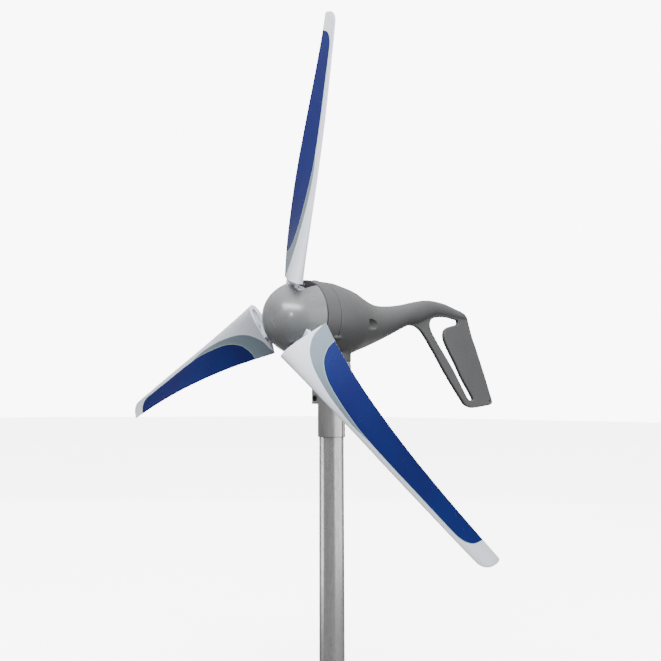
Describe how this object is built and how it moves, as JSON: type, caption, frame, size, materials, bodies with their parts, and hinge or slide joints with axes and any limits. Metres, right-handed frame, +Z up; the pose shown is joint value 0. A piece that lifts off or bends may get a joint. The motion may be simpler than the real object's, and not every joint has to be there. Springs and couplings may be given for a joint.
{
  "type": "small wind turbine",
  "caption": "Small horizontal-axis wind turbine: swept twisted blades on a domed nose cone, teardrop nacelle with a looped tail fin, turning on a pipe mast.",
  "frame": {"origin": "centre of the foot of the pipe mast, on the yaw axis", "axes": "+Z up along the mast; +Y from the nose cone towards the tail fin along the shaft at rest; +X to the right seen from in front"},
  "size_m": [1.0093, 0.7033, 1.281],
  "materials": {
    "casting": "satin grey powder coat on cast aluminium",
    "nose": "smooth glossy grey",
    "blade": "white moulded blade with silver and blue film bands",
    "galvanized_pipe": "dull galvanised",
    "hub_metal": "machined",
    "brass_ring": "polished",
    "copper_wire": "enamelled winding",
    "iron_core": "laminated",
    "magnet": "coated magnet",
    "seal": "moulded",
    "black_plastic": "moulded",
    "carbon": "pressed carbon",
    "board": "green board",
    "fastener_steel": "bright steel"
  },
  "bodies": {
    "mast": {"mast_pole": "galvanized_pipe", "clamp_yoke": "casting", "clamp_bolt_1": "fastener_steel", "clamp_nut_1": "fastener_steel", "clamp_bolt_2": "fastener_steel", "clamp_nut_2": "fastener_steel", "yaw_seal": "seal", "yaw_spindle": "fastener_steel", "retaining_ring": "fastener_steel", "ring_insulator": "black_plastic", "slip_ring_1": "brass_ring", "slip_ring_2": "brass_ring", "slip_ring_3": "brass_ring"},
    "nacelle": {"nacelle_casting": "casting", "face_casting": "casting", "stator_core": "iron_core", "stator_coil_1": "copper_wire", "stator_coil_2": "copper_wire", "stator_coil_3": "copper_wire", "stator_coil_4": "copper_wire", "stator_coil_5": "copper_wire", "stator_coil_6": "copper_wire", "front_bearing": "fastener_steel", "rear_bearing": "fastener_steel", "face_screw_1": "fastener_steel", "face_screw_2": "fastener_steel", "face_screw_3": "fastener_steel", "brush_block": "black_plastic", "brush_1": "carbon", "brush_2": "carbon", "brush_3": "carbon", "circuit_board": "board", "rectifier": "black_plastic", "yaw_bearing_lower": "fastener_steel", "yaw_bearing_upper": "fastener_steel"},
    "rotor": {"nose_cone": "nose", "hub_plate": "hub_metal", "blade_1": "blade", "blade_2": "blade", "blade_3": "blade", "blade_bolt_1a": "fastener_steel", "blade_bolt_1b": "fastener_steel", "blade_bolt_2a": "fastener_steel", "blade_bolt_2b": "fastener_steel", "blade_bolt_3a": "fastener_steel", "blade_bolt_3b": "fastener_steel", "blade_nut_1a": "fastener_steel", "blade_nut_1b": "fastener_steel", "blade_nut_2a": "fastener_steel", "blade_nut_2b": "fastener_steel", "blade_nut_3a": "fastener_steel", "blade_nut_3b": "fastener_steel", "hub_washer": "fastener_steel", "hub_nut": "fastener_steel", "rotor_shaft": "fastener_steel", "rotor_core": "iron_core", "magnet_ring": "magnet"}
  },
  "joints": [
    {"name": "yaw_swivel", "type": "hinge", "parent": "mast", "child": "nacelle", "pos_m": [0, 0, 0.63], "axis": [0, 0, 1], "continuous": true},
    {"name": "rotor_spin", "type": "hinge", "parent": "nacelle", "child": "rotor", "pos_m": [0, -0.1, 0.7], "axis": [0, 1, 0], "continuous": true}
  ]
}
